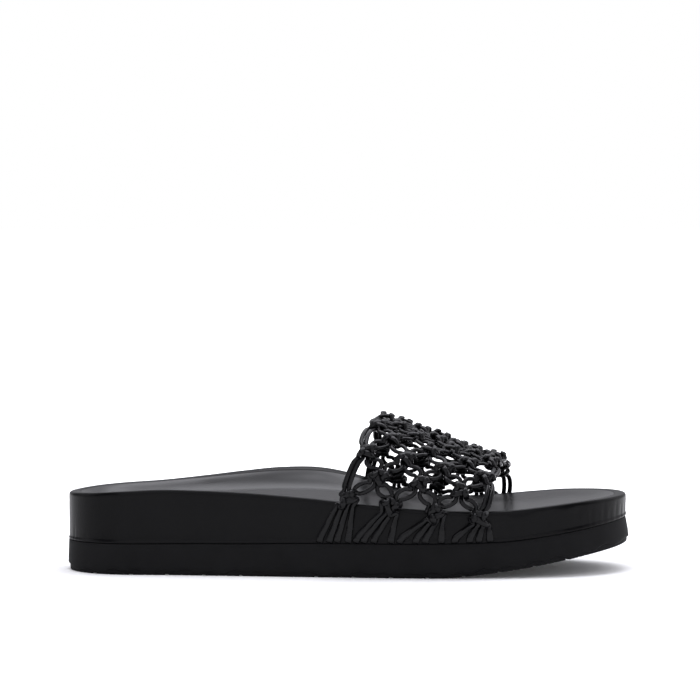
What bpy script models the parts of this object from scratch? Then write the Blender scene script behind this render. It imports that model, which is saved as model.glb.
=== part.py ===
# A woven leather slide sandal for the right foot.
# A moulded outsole with cross grooves carries a leather-wrapped midsole, whose
# top is a contoured footbed lined by an insole. The upper is an open net of
# sixteen leather cords, tied in alternating rows of square knots. It arches
# from the lateral joint, between outsole and midsole, over to the medial one.
# Metres. +X is towards the toe, +Y the medial side, +Z up. The origin lies on
# the floor under the middle of the heel.

import math
from collections import namedtuple

import bmesh
import bpy
from mathutils import Vector

MM = 0.001

# The sole's plan
LENGTH = 255 * MM
BALL_WIDTH = 92 * MM
HEEL_WIDTH = 60 * MM
HEEL_ROUND = 33 * MM  # from the back of the heel to where its round ends
TOE_ROUND = 65 * MM  # from the tip of the toe back to the widest place
TOE_FULLNESS = 2.2  # 2 is an ellipse, and more is a fuller toe
HEEL_CENTRE = 40 * MM  # from the back of the heel to the origin

# The sole's heights
OUTSOLE_THICKNESS = 14.2 * MM
TOE_SPRING = 13 * MM
RIM_HEIGHT = 38.3 * MM  # the footbed's rim over the floor, beside the heel
ARCH_RISE = 9.8 * MM  # the medial rim over the lateral one, at the arch
FOOTBED_DIP = 5.5 * MM  # the footbed's middle under its rim, at the heel

# The sole's sections
OUTSOLE_HEEL_FLARE = 0.3 * MM  # the outsole's foot stands out past its top
OUTSOLE_TOE_FLARE = 1.5 * MM
OUTSOLE_TOP_BEVEL = 0.4 * MM
MIDSOLE_HEEL_INSET = 0.4 * MM  # the midsole's side, in from the outsole's foot
MIDSOLE_TOE_INSET = 1.2 * MM
MIDSOLE_FOOT_ROUND = 1.4 * MM
MIDSOLE_TOP_ROUND = 1.8 * MM
RIM_WIDTH = 5.2 * MM  # the bare rim round the insole
BASIN_SLOPE = 17 * MM  # how far in from the rim the footbed reaches its depth
INSOLE_THICKNESS = 1.6 * MM
GAP = 0.3 * MM  # between pieces that meet

# The tread, a band that stands in from the outsole's side, with waved grooves
TREAD_HEIGHT = 1.8 * MM
TREAD_INSET = 1 * MM
GROOVE_WIDTH = 3.2 * MM
GROOVE_TAPER = 0.7 * MM  # each wall of a groove leans in this far by its roof
GROOVE_DEPTH = 2.3 * MM
GROOVE_PITCH = 16 * MM
GROOVE_WAVE = 2.5 * MM  # how far a groove swings to each side of its line
GROOVE_WAVE_LENGTH = 46 * MM

# The net of the upper
ROWS = 12  # knot rows 0 to 12, from the lateral side to the medial one
COLUMNS = 3  # knot columns 0 to 3, from the instep's edge to the toe's edge
CORD_WIDTH = 1.8 * MM
CORD_THICKNESS = 1.7 * MM
CORD_SPACING = 2.2 * MM  # between the four cords where they leave a knot
KNOT_LENGTH = 6.4 * MM  # along the cords
KNOT_BAR_LENGTH = 3.6 * MM  # the raised part of a knot, along the cords
KNOT_FRONT = 2.3 * MM  # the bars of a knot over the net's middle surface
KNOT_BACK = 2.2 * MM
NET_STANDOFF = 2.6 * MM  # the net's middle surface from the midsole's side
TUCK_STANDOFF = 1.1 * MM  # the same at the cords' tucked ends
TUCK_WIDTH = 2.7 * MM  # a cord lies flat where it is tucked in
TUCK_THICKNESS = 1.2 * MM
NET_INSTEP_HEIGHT = 67.6 * MM  # the net's crest over the floor, at the instep
NET_FULLNESS = 2.3  # of its arch: 2 is an ellipse, and more is squarer
CREST_SHIFT = 2 * MM  # the crest from the sole's axis, towards the medial side
EYE_BULGE = 1.6 * MM  # how far a cord bows out between two knots
EDGE_BULGE = 1.5 * MM  # the same for the paired cords along the net's edges

RING_SAMPLES = 54  # points round the sole's outline
ARCH_SAMPLES = 48  # steps that measure the net's arch

# The sole along its length. along is a share of LENGTH from the back of the
# heel. spread goes from the heel's width, 0, to the ball's, 1. axis is the
# middle of the sole, as a share of BALL_WIDTH towards the medial side.
Plan = namedtuple("Plan", "along spread axis")
PLAN = (
    Plan(0.00, 0.00, 0.000),
    Plan(0.16, 0.00, 0.000),
    Plan(0.24, 0.06, -0.014),
    Plan(0.32, 0.11, -0.034),
    Plan(0.41, 0.21, -0.054),
    Plan(0.49, 0.38, -0.052),
    Plan(0.59, 0.72, -0.027),
    Plan(0.66, 0.91, -0.004),
    Plan(0.72, 0.98, 0.010),
    Plan(0.78, 1.00, 0.020),
    Plan(0.86, 1.00, 0.028),
    Plan(1.00, 1.00, 0.034),
)

# Its heights. joint is the top of the outsole as a share of its thickness,
# spring the lift of its foot as a share of TOE_SPRING, rim the lateral rim as
# a share of RIM_HEIGHT, arch the medial rim's extra height as a share of
# ARCH_RISE, and dip the footbed's depth as a share of FOOTBED_DIP.
Height = namedtuple("Height", "along joint spring rim arch dip")
HEIGHTS = (
    Height(0.000, 0.97, 0.00, 0.918, 0.00, 0.80),
    Height(0.055, 0.97, 0.00, 0.950, 0.00, 0.90),
    Height(0.160, 0.98, 0.00, 0.995, 0.00, 1.00),
    Height(0.235, 1.00, 0.00, 0.992, 0.23, 1.00),
    Height(0.310, 1.01, 0.00, 0.974, 0.56, 0.98),
    Height(0.380, 1.04, 0.00, 0.944, 0.87, 0.95),
    Height(0.450, 1.06, 0.00, 0.905, 1.00, 0.90),
    Height(0.520, 1.06, 0.00, 0.856, 0.78, 0.80),
    Height(0.590, 1.06, 0.00, 0.812, 0.27, 0.65),
    Height(0.660, 1.07, 0.00, 0.782, 0.00, 0.55),
    Height(0.720, 1.09, 0.10, 0.772, 0.00, 0.50),
    Height(0.780, 1.14, 0.25, 0.784, 0.03, 0.48),
    Height(0.840, 1.27, 0.44, 0.822, 0.03, 0.45),
    Height(0.890, 1.40, 0.61, 0.856, 0.03, 0.42),
    Height(0.940, 1.55, 0.79, 0.884, 0.00, 0.38),
    Height(1.000, 1.74, 1.00, 0.905, 0.00, 0.32),
)

# The net's two edges, as shares of LENGTH, at rows of knots. The rows -1 and
# 13 are the cords' tucked ends.
Edge = namedtuple("Edge", "row instep toe")
EDGES = (
    Edge(-1, 0.460, 0.748),
    Edge(0, 0.500, 0.725),
    Edge(2, 0.532, 0.736),
    Edge(4, 0.552, 0.748),
    Edge(6, 0.566, 0.755),
    Edge(8, 0.568, 0.767),
    Edge(10, 0.560, 0.776),
    Edge(12, 0.543, 0.780),
    Edge(13, 0.523, 0.790),
)

# The net's arch at each column of knots. crest is its height as a share of
# NET_INSTEP_HEIGHT. lateral and medial are the heights of its first and last
# row, as shares of the rim's height there.
Arch = namedtuple("Arch", "column crest lateral medial")
ARCHES = (
    Arch(-0.6, 1.02, 1.13, 0.84),
    Arch(0, 1.00, 1.09, 0.84),
    Arch(1, 0.920, 1.06, 0.80),
    Arch(2, 0.820, 1.00, 0.79),
    Arch(3, 0.735, 0.94, 0.80),
    Arch(3.6, 0.69, 0.91, 0.80),
)

# Where the sixteen cords go into the joint, in columns. Each knot's four lean
# back towards the heel.
TUCKS = (
    (-0.11, 0.07, 0.21, 0.41),
    (0.55, 0.69, 0.87, 1.18),
    (1.34, 1.63, 1.80, 2.09),
    (2.33, 2.60, 2.77, 2.97),
)


def smooth(table, key, column, at):
    """Reads a table's column at a value of its key, along a smooth curve."""
    keys = [getattr(row, key) for row in table]
    values = [getattr(row, column) for row in table]
    at = min(max(at, keys[0]), keys[-1])
    i = max(k for k in range(len(keys) - 1) if keys[k] <= at or k == 0)

    def slope(k):
        low, high = max(k - 1, 0), min(k + 1, len(keys) - 1)
        return (values[high] - values[low]) / (keys[high] - keys[low])

    span = keys[i + 1] - keys[i]
    t = (at - keys[i]) / span
    return (
        values[i] * (2 * t**3 - 3 * t**2 + 1)
        + slope(i) * span * (t**3 - 2 * t**2 + t)
        + values[i + 1] * (3 * t**2 - 2 * t**3)
        + slope(i + 1) * span * (t**3 - t**2)
    )


def plan(column, x):
    return smooth(PLAN, "along", column, x / LENGTH)


def height(column, x):
    return smooth(HEIGHTS, "along", column, x / LENGTH)


# Lengths along the sole are measured from the back of the heel until a point
# is placed, when HEEL_CENTRE moves it to the origin.
def place(x, y, z):
    return Vector((x - HEEL_CENTRE, y, z))


def sole_axis(x):
    return plan("axis", x) * BALL_WIDTH


def half_width(x):
    """Half the sole's width, before the heel and the toe are rounded."""
    spread = plan("spread", x)
    return (HEEL_WIDTH + spread * (BALL_WIDTH - HEEL_WIDTH)) / 2


def end_round(x):
    """The share of the width that the round heel and the round toe leave."""
    behind = min(max(1 - x / HEEL_ROUND, 0), 1)
    ahead = min(max(1 - (LENGTH - x) / TOE_ROUND, 0), 1)
    heel = math.sqrt(1 - behind**2)
    toe = (1 - ahead**TOE_FULLNESS) ** (1 / TOE_FULLNESS)
    return heel * toe


def joint_height(x):
    return height("joint", x) * OUTSOLE_THICKNESS


def foot_height(x):
    return max(height("spring", x), 0) * TOE_SPRING


def rim_height(x, y):
    """The rim's height, which goes from the lateral side's to the medial's."""
    across = (y - sole_axis(x)) / half_width(x)
    medial = min(max((1 + across) / 2, 0), 1)
    return height("rim", x) * RIM_HEIGHT + height("arch", x) * ARCH_RISE * medial**2


def footbed_height(x, y, inward):
    """The footbed at a distance in from the edge of the sole."""
    t = min(max((inward - RIM_WIDTH / 2) / BASIN_SLOPE, 0), 1)
    return rim_height(x, y) - height("dip", x) * FOOTBED_DIP * t * t * (3 - 2 * t)


def heel_to_toe(heel_value, toe_value, extra=0):
    """A function of x that goes softly from the heel's value to the toe's."""

    def at(x):
        t = min(max(x / LENGTH, 0), 1)
        return heel_value + (toe_value - heel_value) * t * t * (3 - 2 * t) + extra

    return at


def flare(extra=0):
    return heel_to_toe(OUTSOLE_HEEL_FLARE, OUTSOLE_TOE_FLARE, extra)


def midsole_side(extra=0):
    return heel_to_toe(MIDSOLE_HEEL_INSET, MIDSOLE_TOE_INSET, extra)


def outline():
    """The sole's edge as (x, y) points, from the heel round the lateral side
    to the toe, and back round the medial side."""
    half = RING_SAMPLES // 2
    heel_share = HEEL_ROUND / LENGTH
    toe_share = TOE_ROUND / LENGTH
    heel_steps, toe_steps = half // 4, half // 3
    body_steps = half - heel_steps - toe_steps
    along = [
        heel_share * (1 - math.cos(math.pi / 2 * k / heel_steps))
        for k in range(heel_steps)
    ]
    along += [
        heel_share + (1 - heel_share - toe_share) * k / body_steps
        for k in range(body_steps)
    ]
    along += [
        1 - toe_share * (1 - math.sin(math.pi / 2 * k / toe_steps))
        for k in range(toe_steps + 1)
    ]
    sides = []
    for side in (-1, 1):
        edge = []
        for share in along:
            x = share * LENGTH
            edge.append((x, sole_axis(x) + side * half_width(x) * end_round(x)))
        sides.append(edge)
    lateral, medial = sides
    return lateral + medial[-2:0:-1]


def ring(inward):
    """The outline moved in by a distance, or by a function of x, as (x, y)
    points."""
    edge = outline()
    spine_start, spine_end = HEEL_ROUND, LENGTH - 0.7 * TOE_ROUND
    points = []
    for x, y in edge:
        spine_x = min(max(x, spine_start), spine_end)
        pull = Vector((spine_x - x, sole_axis(spine_x) - y))
        distance = inward(x) if callable(inward) else inward
        moved = Vector((x, y)) + pull.normalized() * min(distance, 0.96 * pull.length)
        points.append((moved.x, moved.y))
    return points


def add_ring(mesh, inward, z_of):
    return [mesh.verts.new(place(x, y, z_of(x, y))) for x, y in ring(inward)]


def band(mesh, lower, upper):
    count = len(lower)
    for i in range(count):
        j = (i + 1) % count
        mesh.faces.new((lower[i], lower[j], upper[j], upper[i]))


def close_ring(mesh, points, reverse):
    """Fills a ring with strips from its lateral side to its medial side."""
    count = len(points)
    toe = count // 2
    for i in range(toe):
        corners = [points[i], points[i + 1], points[-i - 1], points[-i]]
        if i == 0:
            corners = [points[0], points[1], points[-1]]
        elif i == toe - 1:
            corners = [points[i], points[i + 1], points[-i]]
        mesh.faces.new(corners[::-1] if reverse else corners)


def stacked_solid(name, rings, colour, roughness):
    """A closed solid from rings that run from its lower middle, out, up and
    back in to its upper middle. Each ring is (inward, height function)."""
    mesh = bmesh.new()
    made = [add_ring(mesh, inward, z_of) for inward, z_of in rings]
    for lower, upper in zip(made, made[1:]):
        band(mesh, lower, upper)
    close_ring(mesh, made[0], reverse=True)
    close_ring(mesh, made[-1], reverse=False)
    return finish(mesh, name, colour, roughness)


def finish(mesh, name, colour, roughness, smooth_angle=math.radians(35)):
    bmesh.ops.recalc_face_normals(mesh, faces=mesh.faces)
    data = bpy.data.meshes.new(name)
    mesh.to_mesh(data)
    mesh.free()
    data.shade_smooth()
    data.set_sharp_from_angle(angle=smooth_angle)
    made = bpy.data.objects.new(name, data)
    bpy.context.scene.collection.objects.link(made)
    if colour:
        made.data.materials.append(material(name, colour, roughness))
    return made


def material(name, colour, roughness):
    made = bpy.data.materials.new(name)
    made.use_nodes = True
    shader = made.node_tree.nodes["Principled BSDF"]
    shader.inputs["Base Color"].default_value = (*colour, 1)
    shader.inputs["Roughness"].default_value = roughness
    shader.inputs["Metallic"].default_value = 0
    return made


def outsole():
    """A flared side over the tread's inset band, which lifts at the toe."""
    middle = 0.45 * HEEL_WIDTH

    def foot(x, y):
        return foot_height(x)

    def above_tread(x, y):
        return foot_height(x) + TREAD_HEIGHT

    def top(x, y):
        return joint_height(x) - GAP / 2

    def under_top(x, y):
        return top(x, y) - OUTSOLE_TOP_BEVEL

    made = stacked_solid(
        "outsole",
        (
            (middle, foot),
            (TREAD_INSET, foot),
            (TREAD_INSET, above_tread),
            (0, above_tread),
            (flare(), under_top),
            (flare(OUTSOLE_TOP_BEVEL), top),
            (middle, top),
        ),
        colour=(0.012, 0.012, 0.013),
        roughness=0.75,
    )
    groove = made.modifiers.new("grooves", "BOOLEAN")
    groove.operation = "DIFFERENCE"
    groove.solver = "EXACT"
    groove.object = groove_cutter()
    return made


def groove_cutter():
    """Waved bars across the sole, each as wide and deep as a groove."""
    mesh = bmesh.new()
    reach = 0.75 * BALL_WIDTH
    steps = round(6 * reach / GROOVE_WAVE_LENGTH)
    count = int((LENGTH - GROOVE_PITCH) / GROOVE_PITCH)
    for k in range(count):
        loops = []
        for step in range(steps + 1):
            y = reach * (2 * step / steps - 1)
            swing = GROOVE_WAVE * math.cos(2 * math.pi * y / GROOVE_WAVE_LENGTH)
            x = GROOVE_PITCH * (k + 1) + swing
            foot = foot_height(x)
            half, roof = GROOVE_WIDTH / 2, foot + GROOVE_DEPTH
            profile = (
                (x - half, foot - GROOVE_DEPTH),
                (x + half, foot - GROOVE_DEPTH),
                (x + half - GROOVE_TAPER, roof),
                (x - half + GROOVE_TAPER, roof),
            )
            loops.append([mesh.verts.new(place(px, y, pz)) for px, pz in profile])
        for a, b in zip(loops, loops[1:]):
            band(mesh, a, b)
        mesh.faces.new(loops[0][::-1])
        mesh.faces.new(loops[-1])
    made = finish(mesh, "groove_cutter", None, 0)
    made.hide_render = True
    made.display_type = "WIRE"
    return made


def midsole():
    """The wrapped platform: a rounded foot and rim, and a recess that the
    insole lies in."""
    middle = 0.45 * HEEL_WIDTH
    recess = INSOLE_THICKNESS + GAP
    foot_round, top_round = MIDSOLE_FOOT_ROUND, MIDSOLE_TOP_ROUND

    def foot(x, y):
        return joint_height(x) + GAP / 2

    def share_up(share):
        return lambda x, y: foot(x, y) + share * (rim_height(x, y) - foot(x, y))

    def rim_less(drop):
        return lambda x, y: rim_height(x, y) - drop

    def bed_less(drop, inward):
        return lambda x, y: footbed_height(x, y, inward) - drop

    side = midsole_side
    rings = [
        (middle, foot),
        (side(0.8 * foot_round), foot),
        (side(0.15 * foot_round), lambda x, y: foot(x, y) + 0.45 * foot_round),
        (side(), share_up(0.35)),
        (side(), rim_less(top_round)),
        (side(0.3 * top_round), rim_less(0.3 * top_round)),
        (side(top_round), rim_less(0)),
        (side(RIM_WIDTH), bed_less(0, RIM_WIDTH)),
        (side(RIM_WIDTH), bed_less(recess, RIM_WIDTH)),
    ]
    for share in (0.33, 0.66, 1):
        inward = RIM_WIDTH + share * BASIN_SLOPE
        rings.append((side(inward), bed_less(recess, inward)))
    return stacked_solid("midsole", rings, (0.016, 0.016, 0.018), 0.5)


def insole():
    """The lining of the footbed, which lies in the midsole's recess."""
    first = RIM_WIDTH + GAP
    inwards = [first + share * BASIN_SLOPE for share in (0, 0.33, 0.66, 1)]

    def bed(inward, drop):
        return lambda x, y: footbed_height(x, y, inward) - drop

    rings = [
        (midsole_side(inward), bed(inward, INSOLE_THICKNESS))
        for inward in inwards[::-1]
    ]
    rings += [(midsole_side(inward), bed(inward, 0)) for inward in inwards]
    return stacked_solid("insole", rings, (0.03, 0.03, 0.033), 0.45)


# The net. A place on it is (column, row), and the third number is the height
# over its middle surface.
def edge_x(column, row):
    instep = smooth(EDGES, "row", "instep", row)
    toe = smooth(EDGES, "row", "toe", row)
    return (instep + (toe - instep) * column / COLUMNS) * LENGTH


def side_y(x, side, standoff):
    """Outside the midsole, on the lateral side (-1) or the medial one (1)."""
    reach = half_width(x) * end_round(x) - midsole_side()(x) + standoff
    return sole_axis(x) + side * reach


def arch_section(column):
    """The arch over the foot at a column, as (share of its length, y, z)."""
    lateral_x, medial_x = edge_x(column, 0), edge_x(column, ROWS)
    crest_x = edge_x(column, ROWS / 2)
    lateral_y = side_y(lateral_x, -1, NET_STANDOFF)
    medial_y = side_y(medial_x, 1, NET_STANDOFF)
    crest_y = sole_axis(crest_x) + CREST_SHIFT
    crest_z = smooth(ARCHES, "column", "crest", column) * NET_INSTEP_HEIGHT
    lateral_z = rim_height(lateral_x, lateral_y)
    lateral_z *= smooth(ARCHES, "column", "lateral", column)
    medial_z = rim_height(medial_x, medial_y)
    medial_z *= smooth(ARCHES, "column", "medial", column)
    points = []
    for k in range(ARCH_SAMPLES + 1):
        angle = math.pi * k / ARCH_SAMPLES
        side_share = abs(math.cos(angle)) ** (2 / NET_FULLNESS)
        rise_share = abs(math.sin(angle)) ** (2 / NET_FULLNESS)
        first_half = 2 * k <= ARCH_SAMPLES
        foot_y, foot_z = (lateral_y, lateral_z) if first_half else (medial_y, medial_z)
        y = crest_y + (foot_y - crest_y) * side_share
        z = foot_z + (crest_z - foot_z) * rise_share
        points.append(Vector((y, z)))
    reach = [0]
    for a, b in zip(points, points[1:]):
        reach.append(reach[-1] + (b - a).length)
    return [(s / reach[-1], p.x, p.y) for s, p in zip(reach, points)]


SECTIONS = {}


def arch_point(column, row):
    """(y, z) on the arch, its rows evenly spaced along it."""
    key = round(column, 4)
    if key not in SECTIONS:
        SECTIONS[key] = arch_section(column)
    section = SECTIONS[key]
    share = min(max(row / ROWS, 0), 1)
    for (s0, y0, z0), (s1, y1, z1) in zip(section, section[1:]):
        if share <= s1:
            t = (share - s0) / (s1 - s0)
            return y0 + t * (y1 - y0), z0 + t * (z1 - z0)
    return section[-1][1:]


def net_point(column, row):
    """The net's middle surface. Past its first and last row it runs down the
    midsole's side to the joint, where the cords are tucked in."""
    x = edge_x(column, row)
    if 0 <= row <= ROWS:
        y, z = arch_point(column, row)
        return place(x, y, z)
    side, past = (-1, -row) if row < 0 else (1, row - ROWS)
    _, start_z = arch_point(column, 0 if row < 0 else ROWS)
    end_z = joint_height(x) + GAP + CORD_THICKNESS / 2
    standoff = NET_STANDOFF + (TUCK_STANDOFF - NET_STANDOFF) * past**3
    return place(x, side_y(x, side, standoff), start_z + (end_z - start_z) * past)


def net_frame(column, row):
    """The net's point, and its directions along the row, along the cords and
    outwards, with the length that one column and one row cover there."""
    step = 0.04
    low, high = max(row - step, -1), min(row + step, ROWS + 1)
    along_row = net_point(column + step, row) - net_point(column - step, row)
    along_cord = net_point(column, high) - net_point(column, low)
    outward = along_row.cross(along_cord).normalized()
    if outward.dot(net_point(column, row) - place(edge_x(column, row), 0, 0)) < 0:
        outward.negate()
    column_length = along_row.length / (2 * step)
    row_length = along_cord.length / (high - low)
    return (
        net_point(column, row),
        along_row.normalized(),
        along_cord.normalized(),
        outward,
        column_length,
        row_length,
    )


def net_place(column, row, across, along):
    """(column, row) of a place that lies across and along from a knot."""
    *_, column_length, row_length = net_frame(column, row)
    return column + across / column_length, row + along / row_length


def cord_loop(mesh, column, row, direction=None, tuck=0):
    """A cord's four corners: front left, front right, back right, back left,
    seen from outside with the medial side up. tuck goes from the cord's own
    section, 0, to the flat one of its tucked end, 1."""
    point, along_row, along_cord, outward, *_ = net_frame(column, row)
    side = along_row
    if direction is not None:
        side = direction.cross(outward).normalized()
        if side.dot(along_row) < 0 and abs(side.dot(along_row)) > 0.05:
            side.negate()
    across = side * (CORD_WIDTH + (TUCK_WIDTH - CORD_WIDTH) * tuck) / 2
    up = outward * (CORD_THICKNESS + (TUCK_THICKNESS - CORD_THICKNESS) * tuck) / 2
    corners = (up - across, up + across, across - up, -across - up)
    return [mesh.verts.new(point + corner) for corner in corners]


PORTS = (-1.5, -0.5, 0.5, 1.5)  # the four cords at a knot, in cord spacings


def knot(mesh, column, row):
    """A raised knot with four cords in and four out. Returns its ports, as
    (loop, (column, row)) by end and by cord: end 0 faces the lateral side."""
    ports = []
    for along in (-KNOT_LENGTH / 2, KNOT_LENGTH / 2):
        end = []
        for k in PORTS:
            at = net_place(column, row, k * CORD_SPACING, along)
            end.append((cord_loop(mesh, *at), at))
        ports.append(end)
    bar = {}
    point, along_row, along_cord, outward, *_ = net_frame(column, row)
    reach = (PORTS[-1] * CORD_SPACING + CORD_WIDTH / 2) * 0.86
    for end in (0, 1):
        for side in (0, 1):
            flat = (2 * side - 1) * reach * along_row
            flat += (2 * end - 1) * KNOT_BAR_LENGTH / 2 * along_cord
            for face, rise in ((0, KNOT_FRONT), (1, -KNOT_BACK)):
                corner = point + flat + rise * outward
                bar[end, side, face] = mesh.verts.new(corner)
    for end in (0, 1):
        loops = [loop for loop, _ in ports[end]]
        for a, b in zip(loops, loops[1:]):
            mesh.faces.new((a[1], b[0], b[3], a[2]))
        for face, (left, right) in ((0, (0, 1)), (1, (3, 2))):
            edge = [loop[i] for loop in loops for i in (left, right)]
            inner = (bar[end, 0, face], bar[end, 1, face])
            half = len(edge) // 2
            for i in range(len(edge) - 1):
                apex = inner[0] if i < half else inner[1]
                mesh.faces.new((edge[i], edge[i + 1], apex))
            mesh.faces.new((edge[half], inner[1], inner[0]))
    for face in (0, 1):
        plate = [bar[end, side, face] for end, side in ((0, 0), (0, 1), (1, 1), (1, 0))]
        mesh.faces.new(plate)
    for side, (front, back) in ((0, (0, 3)), (1, (1, 2))):
        outer = [ports[end][side * 3][0] for end in (0, 1)]
        mesh.faces.new((outer[0][front], bar[0, side, 0], bar[0, side, 1], outer[0][back]))
        mesh.faces.new((bar[0, side, 0], bar[1, side, 0], bar[1, side, 1], bar[0, side, 1]))
        mesh.faces.new((bar[1, side, 0], outer[1][front], outer[1][back], bar[1, side, 1]))
    return ports


def cord(mesh, start, end, leave, arrive, bulge, steps):
    """A cord between two ports. leave and arrive are how far it runs straight
    out of each, and bulge how far it then bows towards the toe."""
    (loop, (c0, r0)), (end_loop, (c3, r3)) = start, end
    *_, column_length, row_length = net_frame((c0 + c3) / 2, (r0 + r3) / 2)
    first = (c0, r0 + leave / row_length)
    last = (c3, r3 - arrive / row_length)
    run = Vector(((c3 - c0) * column_length, (r3 - r0) * row_length)).normalized()

    def at(t):
        c = (1 - t) ** 3 * c0 + 3 * (1 - t) ** 2 * t * first[0]
        c += 3 * (1 - t) * t * t * last[0] + t**3 * c3
        r = (1 - t) ** 3 * r0 + 3 * (1 - t) ** 2 * t * first[1]
        r += 3 * (1 - t) * t * t * last[1] + t**3 * r3
        bow = bulge * math.sin(math.pi * t)
        return c + bow * run.y / column_length, r - bow * run.x / row_length

    for k in range(1, steps):
        t = k / steps
        ahead, behind = net_point(*at(t + 0.02)), net_point(*at(t - 0.02))
        new_loop = cord_loop(mesh, *at(t), direction=(ahead - behind).normalized())
        band(mesh, loop, new_loop)
        loop = new_loop
    band(mesh, loop, end_loop)


def tucked_cord(mesh, start, column, side, steps):
    """A cord from a knot of the first or last row down to the joint."""
    (loop, (c0, r0)) = start
    r_end = -1 if side < 0 else ROWS + 1
    for k in range(1, steps + 1):
        t = k / steps
        c = c0 + (column - c0) * t * t * (3 - 2 * t)
        r = r0 + (r_end - r0) * t
        new_loop = cord_loop(mesh, c, r, tuck=t)
        band(mesh, *((loop, new_loop) if side > 0 else (new_loop, loop)))
        loop = new_loop
    mesh.faces.new(loop)


def upper():
    """The whole net as one solid: knots, the cords between them, the cords
    along its edges and the tucked ends."""
    mesh = bmesh.new()
    knots = {}
    for row in range(ROWS + 1):
        shift = (row % 2) / 2
        for k in range(COLUMNS + 1 - row % 2):
            knots[row, k + shift] = knot(mesh, k + shift, row)
    straight, short = 0.5 * KNOT_LENGTH, 0.2 * KNOT_LENGTH
    for (row, column), ports in knots.items():
        above = row + 1
        for way, cords, entry in ((-0.5, (0, 1), (2, 3)), (0.5, (2, 3), (0, 1))):
            target = knots.get((above, column + way))
            if target is None:
                continue
            for a, b in zip(cords, entry):
                inner = a in (1, 2)
                leave, arrive = (straight, short) if inner else (short, straight)
                bulge = -EYE_BULGE if a in (0, 2) else EYE_BULGE
                cord(mesh, ports[1][a], target[0][b], leave, arrive, bulge, 3)
        if row % 2 == 0 and row + 2 <= ROWS and column in (0, COLUMNS):
            target = knots[row + 2, column]
            pair, bulge = ((0, 1), -EDGE_BULGE) if column == 0 else ((2, 3), EDGE_BULGE)
            for k in pair:
                cord(mesh, ports[1][k], target[0][k], short, short, bulge, 5)
    for row, side, end in ((0, -1, 0), (ROWS, 1, 1)):
        for column, tucks in enumerate(TUCKS):
            for port, tuck in zip(knots[row, column][end], tucks):
                tucked_cord(mesh, port, tuck, side, 4)
    return finish(mesh, "upper", (0.018, 0.018, 0.02), 0.35)


def clear_scene():
    for item in list(bpy.data.objects):
        bpy.data.objects.remove(item, do_unlink=True)


clear_scene()
outsole()
midsole()
insole()
upper()
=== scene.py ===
import math
import random

import bmesh
import bpy
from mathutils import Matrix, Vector


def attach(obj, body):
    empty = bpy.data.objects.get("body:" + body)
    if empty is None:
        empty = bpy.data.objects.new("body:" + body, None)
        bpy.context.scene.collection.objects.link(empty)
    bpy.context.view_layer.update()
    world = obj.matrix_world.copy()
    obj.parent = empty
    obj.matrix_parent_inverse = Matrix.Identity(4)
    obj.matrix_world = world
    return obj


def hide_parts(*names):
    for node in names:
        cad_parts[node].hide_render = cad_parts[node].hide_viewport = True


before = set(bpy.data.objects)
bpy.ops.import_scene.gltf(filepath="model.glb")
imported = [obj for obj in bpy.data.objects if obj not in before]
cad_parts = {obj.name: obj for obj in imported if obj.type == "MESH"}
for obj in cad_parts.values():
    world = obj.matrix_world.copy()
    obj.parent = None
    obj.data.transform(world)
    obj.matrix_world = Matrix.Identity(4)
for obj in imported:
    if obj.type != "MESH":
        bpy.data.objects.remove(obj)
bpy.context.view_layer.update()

# Black slide sandal, right foot: net of knotted leather cords over a leather
# footbed. Same places as the solids: +X to the toe, +Y medial, +Z up, metres.

mm = 0.001
scene = bpy.context.scene


# Small helpers

def readTable(rows, column, at):  # smooth curve through one column, keyed by the first one
    keys = [row[0] for row in rows]
    values = [row[column] for row in rows]
    at = min(max(at, keys[0]), keys[-1])
    i = max(k for k in range(len(keys) - 1) if keys[k] <= at or k == 0)

    def slope(k):
        low, high = max(k - 1, 0), min(k + 1, len(keys) - 1)
        return (values[high] - values[low]) / (keys[high] - keys[low])

    span = keys[i + 1] - keys[i]
    t = (at - keys[i]) / span
    start = values[i] * (2 * t**3 - 3 * t**2 + 1) + slope(i) * span * (t**3 - 2 * t**2 + t)
    end = values[i + 1] * (3 * t**2 - 2 * t**3) + slope(i + 1) * span * (t**3 - t**2)
    return start + end


def easeBetween(t):  # 0 to 1 with soft ends
    t = min(max(t, 0), 1)
    return t * t * (3 - 2 * t)


def deselectAll():
    if bpy.context.object and bpy.context.object.mode != "OBJECT":
        bpy.ops.object.mode_set(mode="OBJECT")
    bpy.ops.object.select_all(action="DESELECT")


def activate(piece):
    deselectAll()
    piece.select_set(True)
    bpy.context.view_layer.objects.active = piece


def hexColour(code):  # sRGB hex to linear
    channels = [int(code[i:i + 2], 16) / 255 for i in (1, 3, 5)]
    linear = [c / 12.92 if c <= 0.04045 else ((c + 0.055) / 1.055) ** 2.4 for c in channels]
    return (*linear, 1)


def addNode(tree, kind, settings=None, links=None):
    node = tree.nodes.new(kind)
    for name, value in (settings or {}).items():
        if hasattr(node, name):
            setattr(node, name, value)
        else:
            node.inputs[name].default_value = value
    for name, source in (links or {}).items():
        tree.links.new(source, node.inputs[name])
    return node


def rampColours(node, stops):
    ramp = node.color_ramp
    while len(ramp.elements) < len(stops):
        ramp.elements.new(0.5)
    for element, (place, code) in zip(ramp.elements, stops):
        element.position = place
        element.color = hexColour(code)


def newMaterial(name):
    made = bpy.data.materials.new(name)
    made.use_nodes = True
    return made, made.node_tree, made.node_tree.nodes["Principled BSDF"]


# The picture: camera at the photo's angle, pale paper floor with a painted glow, soft studio light

picture = {
    "aim": (88.1 * mm, 0, 33.4 * mm),  # what lies at the picture's middle column
    "distance": 1.5,
    "elevation": math.radians(4.9),
    "aimAbove": math.radians(2.52),  # the lens points this far over the sandal
    "pixelsPerMetre": 2195,
    "framePixels": 700,
    "sensor": 36,
    "seesUntil": 50,
}


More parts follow.
